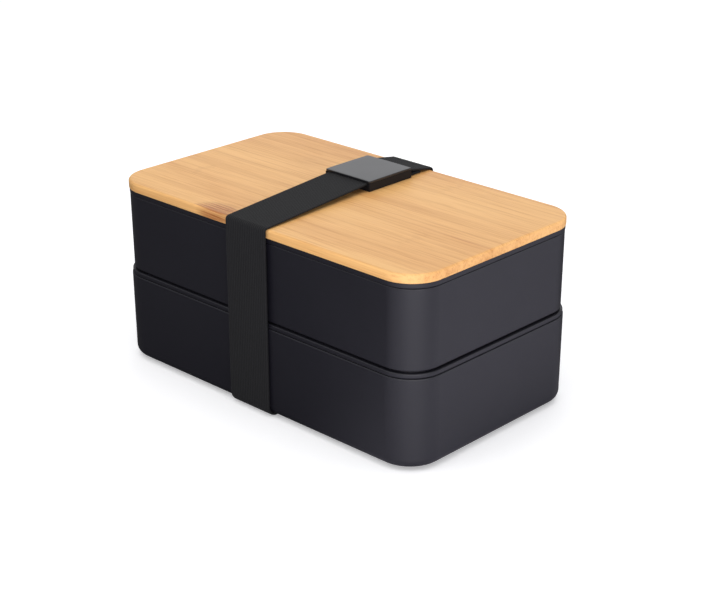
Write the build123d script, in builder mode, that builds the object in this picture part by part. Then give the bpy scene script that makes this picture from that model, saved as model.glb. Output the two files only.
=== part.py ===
from build123d import *

import math
import os

# A two-tier bento box with a bamboo lid, an inner cutlery tray and an elastic strap with a buckle.
#
# Frame: millimetres, +X along the long side, -Y to the front, +Z up.  The origin is under the middle
# of the box, on the surface that it stands on, which is level with the underside of the strap.

os.makedirs("parts", exist_ok=True)

# ---- plan of the box, at the bamboo board; an inset is measured inwards from this outline, per side
board_length = 185.0
board_width = 108.0
corner_radius = 16.0

# ---- heights
lower_height = 41.2
upper_height = 36.8
flange_thickness = 2.2
liner_thickness = 2.3
board_thickness = 4.1

# ---- moulded tiers
wall = 2.2
floor_thickness = 2.2
draft_angle = 0.45
lower_rim_inset = -0.5
upper_rim_inset = 0.4
lower_bottom_fillet = 4.0
foot_fillet = 1.0
inner_fillet = 3.0
rim_fillet = 0.5
level_tolerance = 0.01

# ---- nesting of the upper tier in the inner lid
nest_depth = 1.4
nest_gap = 0.8
foot_step = 1.4
nest_clearance = 0.3

# ---- lids
flange_inset = -0.2
liner_inset = 0.25
plug_clearance = 0.4
plug_wall = 1.8
plug_depth = 5.0
plate_thickness = 1.6
tray_depth = 7.0
tray_floor = 1.6
tray_rib_height = 3.5
tray_rib_width = 1.2
boss_inset = 7.0
boss_height = 1.2
boss_clearance = 0.3
board_top_fillet = 1.1
board_bottom_fillet = 0.4

# ---- silicone seals
seal_height = 2.0
seal_proud = 0.25
groove_depth = 0.9
groove_drop = 1.4
seal_clearance = 0.1

# ---- dividers and the ribs that hold them
divider_thickness = 1.2
divider_x = 22.0
divider_clearance = 0.3
divider_corner = 4.5
divider_notch_radius = 24.0
divider_notch_depth = 5.0
divider_notch_fillet = 2.0
rib_width = 1.1
rib_reach = 1.6
rib_height = 22.0
rib_root_share = 0.3  # of the wall, which the rib's root reaches into

# ---- cutlery
cutlery_end_room = 12.5
cutlery_thickness = 1.8
cutlery_gap = 0.3
cutlery_sheet_margin = 2.0
cutlery_plan_room = 2.0
spoon_side_room = 3.3
spoon_bowl = 44.0
spoon_depth = 4.2
spoon_bowl_margin = 2.0
spoon_neck_offset = 4.0
fork_side_room = 6.3
fork_head = 44.0
fork_slot = 2.4
fork_slot_length = 27.0
fork_slot_spread = 3.4
fork_root_flat = 2.0
fork_tip_corner = 2.0
fork_tip_trim = 0.5
knife_width = 17.0
knife_blade = 76.0
knife_back_run = 18.0
knife_belly_run = 14.0
knife_root_run = 12.0
knife_root_rise = 1.0
knife_lean = 0.2
handle_width = 11.5
handle_neck = 6.5
handle_overlap = 8.0
handle_neck_run = 12.0
handle_camber = 2.4
knife_side_room = 6.9

# ---- strap
strap_width = 24.5
strap_thickness = 1.1
strap_clearance = 0.35
strap_rest_gap = 0.1
strap_front_x = -2.6
strap_rear_x = -6.4
strap_corner_height = 6.0
strap_runs = 4
webbing_gap = 0.15
webbing_rest_gap = 0.2
tail_length = 8.0

# ---- buckle
buckle_length = 28.0
buckle_rear_margin = 15.2
buckle_side_clearance = 0.3
buckle_foot_gap = 0.1
side_wall = 1.25
bar_thickness = 1.1
bar_width = 3.4
bar_inset = 4.0
sill_width = 1.6
cover_thickness = 1.1
cover_corner = 0.8
cover_edge = 0.3

# ---- levels, from the surface up
base = strap_thickness
lower_top = base + lower_height
flange_top = lower_top + flange_thickness
foot_bottom = flange_top - nest_depth
upper_wall_bottom = flange_top + nest_gap
upper_floor = foot_bottom + floor_thickness
upper_top = flange_top + upper_height
liner_top = upper_top + liner_thickness
board_top = liner_top + board_thickness
tray_floor_top = foot_bottom - tray_depth
tray_underside = tray_floor_top - tray_floor
plug_bottom = upper_top - plug_depth

# ---- insets that follow from the values above
lower_inner_inset = lower_rim_inset + wall
upper_inner_inset = upper_rim_inset + wall
tray_plug_inset = lower_inner_inset + plug_clearance
liner_plug_inset = upper_inner_inset + plug_clearance
tray_inset = tray_plug_inset + plug_wall

# ---- the tray's lanes and the cutlery that lies in them
tray_rib_offset = knife_width / 2 + knife_side_room + tray_rib_width / 2
lane_width = board_width / 2 - tray_inset - tray_rib_offset - tray_rib_width / 2
lane_y = tray_rib_offset + tray_rib_width / 2 + lane_width / 2
spoon_width = lane_width - 2 * spoon_side_room
fork_width = lane_width - 2 * fork_side_room
cutlery_length = board_length - 2 * tray_inset - 2 * cutlery_end_room

# ---- the strap's faces and the buckle around it
side_face_y = board_width / 2 - lower_rim_inset + strap_clearance
strap_outer_y = side_face_y + strap_thickness
buckle_width = strap_width + 2 * (buckle_side_clearance + side_wall)
buckle_rear_y = board_width / 2 - buckle_rear_margin
buckle_front_y = buckle_rear_y - buckle_length
buckle_y = (buckle_front_y + buckle_rear_y) / 2
frame_bottom = board_top + buckle_foot_gap
bar_spread = buckle_length / 2 - bar_inset
tail_level = board_top + webbing_rest_gap
bar_bottom = tail_level + strap_thickness + webbing_gap
webbing_level = bar_bottom + bar_thickness + webbing_gap
cover_bottom = webbing_level + strap_thickness + webbing_gap


def drawn_in(height):
    """How far a drafted wall comes in over a height."""
    return height * math.tan(math.radians(draft_angle))


def outline(inset):
    """The rounded plan of the box, drawn in by an inset, in the sketch that is open."""
    RectangleRounded(board_length - 2 * inset, board_width - 2 * inset, corner_radius - inset)


def slab(inset, bottom, top):
    """A straight-sided block of the box's plan."""
    with BuildPart() as block:
        with BuildSketch(Plane.XY.offset(bottom)):
            outline(inset)
        extrude(amount=top - bottom)
    return block.part


def tub(inset, bottom, top, fillet_radius):
    """A block that narrows downwards with the draft and has a rounded bottom edge."""
    with BuildPart() as block:
        with BuildSketch(Plane(origin=(0, 0, top), z_dir=(0, 0, -1))):
            outline(inset)
        extrude(amount=top - bottom, taper=draft_angle)
        fillet(block.faces().sort_by(Axis.Z)[0].edges(), fillet_radius)
    return block.part


def ring(outer_inset, inner_inset, bottom, top):
    """A straight-sided ring between two outlines."""
    with BuildPart() as band:
        with BuildSketch(Plane.XY.offset(bottom)):
            outline(outer_inset)
            RectangleRounded(
                board_length - 2 * inner_inset,
                board_width - 2 * inner_inset,
                corner_radius - inner_inset,
                mode=Mode.SUBTRACT,
            )
        extrude(amount=top - bottom)
    return band.part


def divider_ribs(inner_inset, floor_level, rim_level):
    """Two pairs of upright ribs on the long walls, one pair each side of the middle."""
    pitch = divider_thickness + 2 * divider_clearance + rib_width
    low_half = board_width / 2 - inner_inset - drawn_in(rim_level - floor_level)
    root = low_half + rib_root_share * wall
    reach = root - (low_half - rib_reach)
    rib_spots = [
        (side * divider_x + step * pitch / 2, end * (root - reach / 2))
        for side in (-1, 1)
        for step in (-1, 1)
        for end in (-1, 1)
    ]
    with BuildPart() as ribs:
        with BuildSketch(Plane.XY.offset(floor_level - floor_thickness / 2)):
            with Locations(*rib_spots):
                Rectangle(rib_width, reach)
        extrude(amount=rib_height + floor_thickness / 2)
    return ribs.part


def rim_edges(part, level):
    """The edges that lie in the rim's top face."""
    return part.edges().filter_by_position(Axis.Z, level - level_tolerance, level + level_tolerance)


# ---- lower tier: an open tub whose long walls carry the divider's ribs
lower_floor = base + floor_thickness
with BuildPart() as lower_tier:
    add(tub(lower_rim_inset, base, lower_top, lower_bottom_fillet))
    add(tub(lower_inner_inset, lower_floor, lower_top, inner_fillet), mode=Mode.SUBTRACT)
    fillet(rim_edges(lower_tier, lower_top), rim_fillet)
    add(divider_ribs(lower_inner_inset, lower_floor, lower_top))
lower_tier.part.label = "lower_tier"


# ---- upper tier: the same tub on a stepped foot that nests in the inner lid
foot_inset = upper_rim_inset + drawn_in(upper_top - upper_wall_bottom) + foot_step
with BuildPart() as upper_tier:
    with BuildSketch(Plane(origin=(0, 0, upper_top), z_dir=(0, 0, -1))):
        outline(upper_rim_inset)
    extrude(amount=upper_top - upper_wall_bottom, taper=draft_angle)
    fillet(upper_tier.faces().sort_by(Axis.Z)[0].edges(), rim_fillet)
    add(slab(foot_inset, foot_bottom, upper_wall_bottom))
    fillet(upper_tier.faces().sort_by(Axis.Z)[0].edges(), foot_fillet)
    add(tub(upper_inner_inset, upper_floor, upper_top, inner_fillet), mode=Mode.SUBTRACT)
    fillet(rim_edges(upper_tier, upper_top), rim_fillet)
    add(divider_ribs(upper_inner_inset, upper_floor, upper_top))
upper_tier.part.label = "upper_tier"


def divider(inner_inset, floor_level, rim_level, top_level):
    """A thin plate that drops between the ribs, with rounded feet and a finger notch."""
    low_half = board_width / 2 - inner_inset - drawn_in(rim_level - floor_level)
    half_width = low_half - divider_clearance
    bottom = floor_level + divider_clearance
    height = top_level - bottom
    notch_centre = top_level + divider_notch_radius - divider_notch_depth
    with BuildPart() as plate:
        with BuildSketch(Plane.YZ.offset(divider_x - divider_thickness / 2)):
            with Locations((0, bottom + height / 2)):
                Rectangle(2 * half_width, height)
            with Locations((0, notch_centre)):
                Circle(divider_notch_radius, mode=Mode.SUBTRACT)
        extrude(amount=divider_thickness)
        low_corners = plate.edges().filter_by(Axis.X).group_by(Axis.Z)[0]
        fillet(low_corners, divider_corner)
        high_corners = plate.edges().filter_by(Axis.X).group_by(Axis.Z)[-1]
        notch_corners = high_corners.sort_by(lambda e: abs(e.center().Y))[:2]
        fillet(notch_corners, divider_notch_fillet)
    return plate.part


lower_divider = divider(
    lower_inner_inset, lower_floor, lower_top, tray_underside - divider_clearance
)
lower_divider.label = "lower_divider"
upper_divider = divider(
    upper_inner_inset, upper_floor, upper_top, plug_bottom - divider_clearance
)
upper_divider.label = "upper_divider"


# ---- inner lid: a flange on the lower rim, a nest for the upper tier and a tray for the cutlery
nest_inset = foot_inset - nest_clearance
tray_groove_top = lower_top - groove_drop
with BuildPart() as inner_lid:
    add(slab(flange_inset, lower_top, flange_top))
    fillet(inner_lid.edges().group_by(Axis.Z)[-1], rim_fillet)
    add(tub(tray_plug_inset, tray_underside, lower_top, foot_fillet))
    add(slab(nest_inset, foot_bottom, flange_top), mode=Mode.SUBTRACT)
    add(slab(tray_inset, tray_floor_top, foot_bottom), mode=Mode.SUBTRACT)
    add(
        ring(
            tray_plug_inset - groove_depth,
            tray_plug_inset + groove_depth,
            tray_groove_top - seal_height,
            tray_groove_top,
        ),
        mode=Mode.SUBTRACT,
    )
    with BuildSketch(Plane.XY.offset(tray_floor_top)):
        with Locations((0, -tray_rib_offset), (0, tray_rib_offset)):
            SlotOverall(cutlery_length, tray_rib_width)
    extrude(amount=tray_rib_height)
inner_lid.part.label = "inner_lid"


def seal(plug_inset, groove_top):
    """A silicone ring that sits in a plug's groove and stands a little proud of it."""
    with BuildPart() as gasket:
        add(
            ring(
                plug_inset - seal_proud,
                plug_inset + groove_depth - seal_clearance,
                groove_top - seal_height + seal_clearance,
                groove_top - seal_clearance,
            )
        )
    return gasket.part


inner_lid_seal = seal(tray_plug_inset, tray_groove_top)
inner_lid_seal.label = "inner_lid_seal"


# ---- lid liner: the black plate under the board, with a plug ring and a locating boss
liner_groove_top = upper_top - groove_drop
with BuildPart() as lid_liner:
    add(slab(liner_inset, upper_top, liner_top))
    fillet(lid_liner.edges().group_by(Axis.Z)[0], rim_fillet)
    add(ring(liner_plug_inset, liner_plug_inset + plug_wall, plug_bottom, upper_top))
    hollow_top = liner_top - plate_thickness
    add(slab(liner_plug_inset + plug_wall, plug_bottom, hollow_top), mode=Mode.SUBTRACT)
    add(slab(boss_inset, liner_top, liner_top + boss_height))
    add(
        ring(
            liner_plug_inset - groove_depth,
            liner_plug_inset + groove_depth,
            liner_groove_top - seal_height,
            liner_groove_top,
        ),
        mode=Mode.SUBTRACT,
    )
lid_liner.part.label = "lid_liner"

lid_seal = seal(liner_plug_inset, liner_groove_top)
lid_seal.label = "lid_seal"


# ---- bamboo board, pocketed underneath for the liner's boss
with BuildPart() as lid_board:
    add(slab(0, liner_top, board_top))
    fillet(lid_board.edges().group_by(Axis.Z)[-1], board_top_fillet)
    fillet(lid_board.edges().group_by(Axis.Z)[0], board_bottom_fillet)
    pocket_top = liner_top + boss_height + boss_clearance
    add(slab(boss_inset - boss_clearance, liner_top, pocket_top), mode=Mode.SUBTRACT)
lid_board.part.label = "lid_board"


# ---- cutlery: each piece is its plan outline cut from a gently arched sheet
cutlery_floor = tray_floor_top + cutlery_gap
handle_end = cutlery_length / 2


def arched_sheet(head_length, width, head_level):
    """A thin sheet along X: flat under the head and arched along the handle."""
    head_end = -handle_end + head_length
    middle = (head_end + handle_end) / 2
    with BuildPart() as sheet:
        with BuildSketch(Plane.XZ.offset(-width / 2)):
            with BuildLine():
                low = [
                    (-handle_end, head_level),
                    (head_end, head_level),
                    (middle, cutlery_floor + handle_camber),
                    (handle_end, cutlery_floor),
                ]
                high = [(x, z + cutlery_thickness) for x, z in low]
                Line(low[0], low[1])
                ThreePointArc(low[1], low[2], low[3])
                Line(low[3], high[3])
                ThreePointArc(high[3], high[2], high[1])
                Line(high[1], high[0])
                Line(high[0], low[0])
            make_face()
        extrude(amount=width)
    return sheet.part


def handle_outline(head_end):
    """The handle's plan, from the neck to the rounded end."""
    neck = handle_neck / 2
    half = handle_width / 2
    start = head_end - handle_overlap
    neck_end = head_end + handle_neck_run
    with BuildSketch() as handle:
        with BuildLine():
            Line((start, -neck), (start, neck))
            Spline(
                (start, neck),
                (neck_end, neck),
                (handle_end - half, half),
                tangents=[(1, 0), (1, 0)],
            )
            ThreePointArc((handle_end - half, half), (handle_end, 0), (handle_end - half, -half))
            Spline(
                (handle_end - half, -half),
                (neck_end, -neck),
                (start, -neck),
                tangents=[(-1, 0), (-1, 0)],
            )
        make_face()
    return handle.sketch


def cut_from_sheet(sheet, plan, lane):
    """The sheet within a plan outline, moved to its lane in the tray."""
    with BuildPart() as piece:
        add(sheet)
        add(plan, mode=Mode.INTERSECT)
    return piece.part.moved(Location((0, lane, 0)))


plan_height = handle_camber + cutlery_thickness + spoon_depth + cutlery_plan_room

with BuildPart() as fork_plan:
    fork_head_end = -handle_end + fork_head
    with BuildSketch(Plane.XY.offset(tray_floor_top)):
        with Locations((-handle_end + fork_head / 2, 0)):
            RectangleRounded(fork_head, fork_width, (fork_width - fork_root_flat) / 2)
        with Locations((-handle_end + fork_head / 4, 0)):
            RectangleRounded(fork_head / 2, fork_width, fork_tip_corner)
        add(handle_outline(fork_head_end))
        slot_pitch = (fork_width - fork_slot) / fork_slot_spread
        with Locations(*[(-handle_end + fork_slot_length / 2, k * slot_pitch) for k in (-1, 0, 1)]):
            SlotOverall(fork_slot_length + fork_slot, fork_slot, mode=Mode.SUBTRACT)
        with Locations((-handle_end, 0)):
            Rectangle(2 * fork_tip_trim, fork_width, mode=Mode.SUBTRACT)
    extrude(amount=plan_height)

fork_sheet = arched_sheet(fork_head, fork_width + cutlery_sheet_margin, cutlery_floor)
fork = cut_from_sheet(fork_sheet, fork_plan.part, -lane_y)
fork.label = "fork"

with BuildPart() as knife_plan:
    with BuildSketch(Plane.XY.offset(tray_floor_top)):
        with BuildLine():
            half_knife = knife_width / 2
            blade_end = -handle_end + knife_blade
            Line((blade_end, -handle_neck / 2), (blade_end, handle_neck / 2))
            Spline(
                (blade_end, handle_neck / 2),
                (-handle_end + knife_back_run, half_knife),
                (-handle_end, 0),
                tangents=[(-1, 0), (-knife_lean, -1)],
            )
            Spline(
                (-handle_end, 0),
                (-handle_end + knife_belly_run, -half_knife),
                (blade_end - knife_root_run, -half_knife + knife_root_rise),
                (blade_end, -handle_neck / 2),
                tangents=[(knife_lean, -1), (1, knife_lean)],
            )
        make_face()
        add(handle_outline(blade_end))
    extrude(amount=plan_height)

knife_sheet = arched_sheet(knife_blade, knife_width + 2 * cutlery_sheet_margin, cutlery_floor)
knife = cut_from_sheet(knife_sheet, knife_plan.part, 0)
knife.label = "knife"


# The spoon's bowl lies between two barrels of revolution about axes above it, level with its rim.
bowl_middle = -handle_end + spoon_bowl / 2
bowl_rim = cutlery_floor + spoon_depth
bowl_half = spoon_bowl / 2 + spoon_bowl_margin
bowl_long_radius = ((spoon_bowl / 2) ** 2 + spoon_depth**2) / (2 * spoon_depth)
bowl_cross_radius = ((spoon_width / 2) ** 2 + spoon_depth**2) / (2 * spoon_depth)
bowl_axis_level = cutlery_floor + bowl_cross_radius


def barrel(skin):
    """A solid of revolution whose underside is the bowl's, lifted by the skin's thickness."""
    long_radius = bowl_long_radius - skin
    end_rise = long_radius - math.sqrt(long_radius**2 - bowl_half**2)
    low = cutlery_floor + skin
    with BuildPart() as body:
        with BuildSketch(Plane.XZ):
            with BuildLine():
                ThreePointArc(
                    (bowl_middle - bowl_half, low + end_rise),
                    (bowl_middle, low),
                    (bowl_middle + bowl_half, low + end_rise),
                )
                Polyline(
                    (bowl_middle + bowl_half, low + end_rise),
                    (bowl_middle + bowl_half, bowl_axis_level),
                    (bowl_middle - bowl_half, bowl_axis_level),
                    (bowl_middle - bowl_half, low + end_rise),
                )
            make_face()
        revolve(axis=Axis((0, 0, bowl_axis_level), (1, 0, 0)))
    return body.part


with BuildPart() as spoon_handle_plan:
    with BuildSketch(Plane.XY.offset(tray_floor_top)):
        add(handle_outline(-handle_end + spoon_bowl + spoon_neck_offset))
    extrude(amount=plan_height)

spoon_handle = cut_from_sheet(
    arched_sheet(spoon_bowl, spoon_width, bowl_rim - cutlery_thickness), spoon_handle_plan.part, 0
)

with BuildPart() as spoon_blank:
    with BuildSketch(Plane.XY.offset(tray_floor_top)):
        with Locations((bowl_middle, 0)):
            Ellipse(spoon_bowl / 2, spoon_width / 2)
    extrude(amount=bowl_rim - tray_floor_top)
    add(barrel(0), mode=Mode.INTERSECT)
    add(spoon_handle)
    add(barrel(cutlery_thickness), mode=Mode.SUBTRACT)

spoon = spoon_blank.part.moved(Location((0, lane_y, 0)))
spoon.label = "spoon"


# ---- strap: one loop of elastic, kept as the runs that move apart when the box is unpacked
top_rest = board_top + strap_rest_gap
top_corner_bottom = board_top - strap_corner_height
run_levels = [
    strap_corner_height + k * (top_corner_bottom - strap_corner_height) / strap_runs
    for k in range(strap_runs + 1)
]
side_mid_y = side_face_y + strap_thickness / 2


def upright_run(side, x, bottom, top):
    """A straight run up the front (side -1) or the rear (side 1)."""
    with BuildPart() as run:
        with BuildSketch(Plane.XY.offset(bottom)):
            with Locations((x, side * side_mid_y)):
                Rectangle(strap_width, strap_thickness)
        extrude(amount=top - bottom)
    return run.part


def lengthwise_run(*sections):
    """A run along Y through sections that are each given as (y, x, underside)."""
    with BuildPart() as run:
        for y, x, bottom in sections:
            middle = (x, y, bottom + strap_thickness / 2)
            with BuildSketch(Plane(origin=middle, x_dir=(1, 0, 0), z_dir=(0, -1, 0))):
                Rectangle(strap_width, strap_thickness)
        loft(ruled=True)
    return run.part


with BuildPart() as strap_bottom:
    add(lengthwise_run((-strap_outer_y, strap_front_x, 0), (strap_outer_y, strap_rear_x, 0)))
    add(upright_run(-1, strap_front_x, 0, strap_corner_height))
    add(upright_run(1, strap_rear_x, 0, strap_corner_height))
strap_bottom.part.label = "strap_bottom"

corner_run_top = top_rest + strap_thickness


def turn_round_bar(face_y, direction, tail_end_y):
    """The webbing turned down beside a bar and led under it to its end."""
    turn_y = face_y + direction * (webbing_gap + strap_thickness / 2)
    with BuildPart() as turn:
        with BuildSketch(Plane.XY.offset(tail_level)):
            with Locations((strap_rear_x, turn_y)):
                Rectangle(strap_width, strap_thickness)
        extrude(amount=webbing_level + strap_thickness - tail_level)
        with BuildSketch(Plane.XY.offset(tail_level)):
            with Locations((strap_rear_x, (turn_y + tail_end_y) / 2)):
                Rectangle(strap_width, abs(tail_end_y - turn_y))
        extrude(amount=strap_thickness)
    return turn.part


front_bar_face = buckle_y - bar_spread + bar_width / 2
rear_bar_face = buckle_y + bar_spread - bar_width / 2
with BuildPart() as strap_top_front:
    add(upright_run(-1, strap_front_x, top_corner_bottom, corner_run_top))
    add(
        lengthwise_run(
            (-side_face_y, strap_front_x, top_rest),
            (buckle_front_y, strap_rear_x, webbing_level),
            (front_bar_face + webbing_gap + strap_thickness, strap_rear_x, webbing_level),
        )
    )
    add(turn_round_bar(front_bar_face, 1, buckle_y + bar_width))
strap_top_front.part.label = "strap_top_front"

with BuildPart() as strap_top_rear:
    add(upright_run(1, strap_rear_x, top_corner_bottom, corner_run_top))
    add(
        lengthwise_run(
            (rear_bar_face - webbing_gap - strap_thickness, strap_rear_x, webbing_level),
            (buckle_rear_y, strap_rear_x, webbing_level),
            (side_face_y, strap_rear_x, top_rest),
        )
    )
    add(turn_round_bar(rear_bar_face, -1, buckle_rear_y + tail_length))
strap_top_rear.part.label = "strap_top_rear"

strap_side_runs = {}
for face_name, face_side, face_x in (("front", -1, strap_front_x), ("rear", 1, strap_rear_x)):
    for k in range(strap_runs):
        run_name = f"strap_{face_name}_{k + 1}"
        run = upright_run(face_side, face_x, run_levels[k], run_levels[k + 1])
        run.label = run_name
        strap_side_runs[run_name] = run


# ---- buckle: a frame of two side walls, three cross bars and a front sill, closed by a flat cover
side_wall_x = (buckle_width - side_wall) / 2
with BuildPart() as buckle_frame:
    with BuildSketch(Plane.XY.offset(frame_bottom)):
        with Locations(*[(strap_rear_x + side * side_wall_x, buckle_y) for side in (-1, 1)]):
            Rectangle(side_wall, buckle_length)
    extrude(amount=cover_bottom - frame_bottom)
    with BuildSketch(Plane.XY.offset(bar_bottom)):
        with Locations(*[(strap_rear_x, buckle_y + k * bar_spread) for k in (-1, 0, 1)]):
            Rectangle(buckle_width - side_wall, bar_width)
    extrude(amount=bar_thickness)
    with BuildSketch(Plane.XY.offset(frame_bottom)):
        with Locations((strap_rear_x, buckle_front_y + sill_width / 2)):
            Rectangle(buckle_width - side_wall, sill_width)
    extrude(amount=webbing_level - webbing_gap - frame_bottom)
buckle_frame.part.label = "buckle_frame"

with BuildPart() as buckle_cover:
    with BuildSketch(Plane.XY.offset(cover_bottom)):
        with Locations((strap_rear_x, buckle_y)):
            RectangleRounded(buckle_width, buckle_length, cover_corner)
    extrude(amount=cover_thickness)
    fillet(buckle_cover.edges().group_by(Axis.Z)[-1], cover_edge)
buckle_cover.part.label = "buckle_cover"


pieces = [
    lower_tier.part,
    lower_divider,
    inner_lid.part,
    inner_lid_seal,
    fork,
    knife,
    spoon,
    upper_tier.part,
    upper_divider,
    lid_liner.part,
    lid_seal,
    lid_board.part,
    strap_bottom.part,
    *strap_side_runs.values(),
    strap_top_front.part,
    strap_top_rear.part,
    buckle_frame.part,
    buckle_cover.part,
]
for piece in pieces:
    export_step(piece, f"parts/{piece.label}.step")
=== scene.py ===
import math

import bmesh
import bpy
from mathutils import Matrix, Vector


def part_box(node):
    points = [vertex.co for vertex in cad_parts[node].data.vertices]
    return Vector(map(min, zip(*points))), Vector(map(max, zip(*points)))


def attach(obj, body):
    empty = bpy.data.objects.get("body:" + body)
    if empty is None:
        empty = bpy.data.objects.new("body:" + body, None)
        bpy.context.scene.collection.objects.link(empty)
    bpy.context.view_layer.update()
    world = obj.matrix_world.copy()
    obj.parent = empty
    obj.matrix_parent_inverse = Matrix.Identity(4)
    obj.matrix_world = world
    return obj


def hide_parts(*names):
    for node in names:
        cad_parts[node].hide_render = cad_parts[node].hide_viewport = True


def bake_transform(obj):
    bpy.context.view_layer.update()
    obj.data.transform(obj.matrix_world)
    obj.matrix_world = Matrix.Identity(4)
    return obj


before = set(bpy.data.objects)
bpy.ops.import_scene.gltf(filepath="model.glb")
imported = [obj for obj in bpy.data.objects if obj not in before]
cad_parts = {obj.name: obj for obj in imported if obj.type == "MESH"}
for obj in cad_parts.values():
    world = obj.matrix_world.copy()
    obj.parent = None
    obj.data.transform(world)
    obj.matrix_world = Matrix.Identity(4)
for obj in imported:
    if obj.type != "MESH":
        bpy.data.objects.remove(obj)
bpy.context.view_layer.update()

bl_info = {
    "name": "Bento box finish",
    "version": (1, 0, 0),
    "blender": (4, 5, 0),
    "location": "View3D > Sidebar > Bento",
    "description": "Builds the finished pieces of a two-tier bento box around its frame",
    "category": "Object",
}

CORNER_STEPS = 18
FILLET_STEPS = 5
SHARP_ANGLE = math.radians(42)
MERGE_DISTANCE = 1e-7
SAME_PLACE = 1e-6
FLAT_SHARE = 0.85  # of the corner radius: the inset at which a flat floor or plate is closed
CRISP_EDGE = 0.0002  # the radius of an edge that is only broken

POCKET_LANDING = 0.004  # how far the pocket under the board is drawn before it is closed
TOP_LANDING = 0.002  # the same for the board's top

RIB_CLEARANCE = 0.0003  # between a divider and the ribs that hold it
RIB_WIDTH = 0.0011
RIB_REACH = 0.0016
RIB_RISE = 0.022
RIB_WALL_SHARE = 0.3  # how much of the wall's thickness a rib is set into
RIB_FLOOR_SHARE = 1 / 3  # the same for the floor

TRAY_RIB_Y = 0.016
TRAY_RIB_WIDTH = 0.0012
TRAY_RIB_HEIGHT = 0.0035
TRAY_RIB_SINK = 0.0005
TRAY_RIB_EDGE = 0.0004
TRAY_EDGE = 0.0003
TRAY_FILLET = 0.0008
PLUG_EDGE = 0.0004
PLUG_FILLET = 0.0005

SEAL_PROUD = 0.00025  # how far a seal stands out of its plug
SEAL_BACK_GAP = 0.0001  # between a seal's back and its groove
SEAL_WAIST = 0.0004  # how far the seal draws in between its lips
SEAL_LIP_SHARE = 0.28  # of the seal's height: where a lip's crest lies
SEAL_EDGE = 0.0001
SEAL_LIP_EDGE = 0.00015

BAR_END_INSET = 0.004  # from the buckle's end to the middle of its outer bar
HALF_BAR = 0.0017
BAR_LIFT = 0.00145  # from the board to a bar's underside
BAR_THICKNESS = 0.0011
BAR_EDGE = 0.0005
SILL_LIFT = 0.00255  # from the board to the sill's top
COVER_CUTS = 12
UPRIGHT_RISE = 0.0005  # an edge of the cover that rises more than this is an upright
REST_GAP = 0.0001  # between the webbing and the board's edge
TAIL_GAP = 0.0002  # between the webbing's tail and the board
FOLD_STEP = 0.0003  # a short flat run where the webbing enters the buckle
RUN_STEPS = 10
POINTS_PER_RIB = 4
EDGE_THINNING = 0.18  # of the thickness: how much thinner the webbing is along its edges
STRAP_CHAIN = ("root", "inner_lid", "upper_tier", "lid", "strap_top")

# marks of the cane's nodes: centre, reach and depth of tone
CANE_MARKS = (
    ((-0.0245, -0.0505), (0.0110, 0.0075), 0.95),
    ((-0.0430, 0.0230), (0.0100, 0.0090), 0.13),
    ((0.0610, -0.0200), (0.0022, 0.0090), 0.10),
    ((-0.0720, -0.0180), (0.0020, 0.0090), 0.11),
    ((0.0300, 0.0400), (0.0020, 0.0090), 0.10),
)

# softboxes: name, power in watts, size, place and colour
SOFTBOX_AIM = (0, 0, 0.05)
SOFTBOXES = (
    ("top_box", 12.0, (1.6, 1.6), (0.1, -0.1, 1.3), (1, 1, 1)),
    ("corner_box", 10.5, (1.3, 0.28), (0.95, -0.72, 0.15), (0.95, 0.94, 1.0)),
    ("right_box", 2.8, (1.0, 0.6), (0.95, 1.0, 0.34), (0.94, 0.96, 1.0)),
    ("back_box", 3.6, (1.3, 0.9), (-0.80, 1.18, 0.66), (0.97, 0.98, 1.0)),
    ("front_box", 3.6, (1.2, 0.8), (-0.45, -1.15, 0.95), (1, 1, 1)),
)
FLOOR_SEEN = (0.95, 0.95, 0.955)
FLOOR_DARK = (0.11, 0.11, 0.115)
FLOOR_LIGHT = (0.84, 0.82, 0.92)
FLOOR_GLOW = 0.30
FLOOR_TURN = (0.94, -0.34)  # the direction, in X and Y, in which the floor's bounce gets lighter
FLOOR_CHANGE = (0.03, 0.12)  # where along it the change starts and ends
WORLD_SEEN = (1.0, 1.0, 1.0)
WORLD_LIGHT = (0.30, 0.30, 0.31)


# ---------------------------------------------------------------- sizes that come from the frame


def level(node, end):
    """A CAD node's lowest (0) or highest (1) Z."""
    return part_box(node)[end].z


def half_length(node):
    """Half of a CAD node's length along X."""
    low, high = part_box(node)
    return (high.x - low.x) / 2


BOARD_LOW, BOARD_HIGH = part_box("lid_board")
BOARD_TOP = BOARD_HIGH.z
HALF_X = BOARD_HIGH.x
HALF_Y = BOARD_HIGH.y


def inset_of(node):
    """How far a node's widest outline lies inside the board's."""
    return HALF_X - half_length(node)


# ---------------------------------------------------------------- settings


def length(name, description, default):
    """A size in metres that a user can change."""
    return bpy.props.FloatProperty(
        name=name, description=description, default=default, unit="LENGTH")


def tint(name, description, default):
    """A colour that a user can change."""
    return bpy.props.FloatVectorProperty(
        name=name, description=description, subtype="COLOR", default=default)


def angle(name, description, default):
    """An angle in radians that a user can change."""
    return bpy.props.FloatProperty(
        name=name, description=description, default=default, subtype="ANGLE")


class BoardSettings(bpy.types.PropertyGroup):
    """The bamboo board"""

    corner_radius: length("Corner radius", "Plan radius of the box's corners", 0.016)
    top_round: length("Top edge", "Radius of the board's top edge", 0.0011)
    bottom_round: length("Bottom edge", "Radius of the bottom edge", 0.0004)
    pocket_inset: length("Pocket inset", "Distance of the underside pocket from the edge", 0.0067)
    pocket_depth: length("Pocket depth", "Depth of the underside pocket", 0.0015)
    light: tint("Light wood", "Colour of the pale bamboo", (0.90, 0.525, 0.195))
    dark: tint("Dark wood", "Colour of the dark fibres", (0.58, 0.235, 0.062))
    knot: tint("Node marks", "Colour of the bamboo's node marks", (0.33, 0.085, 0.018))
    stave_width: length("Stave width", "Width of the glued staves", 0.019)


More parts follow.
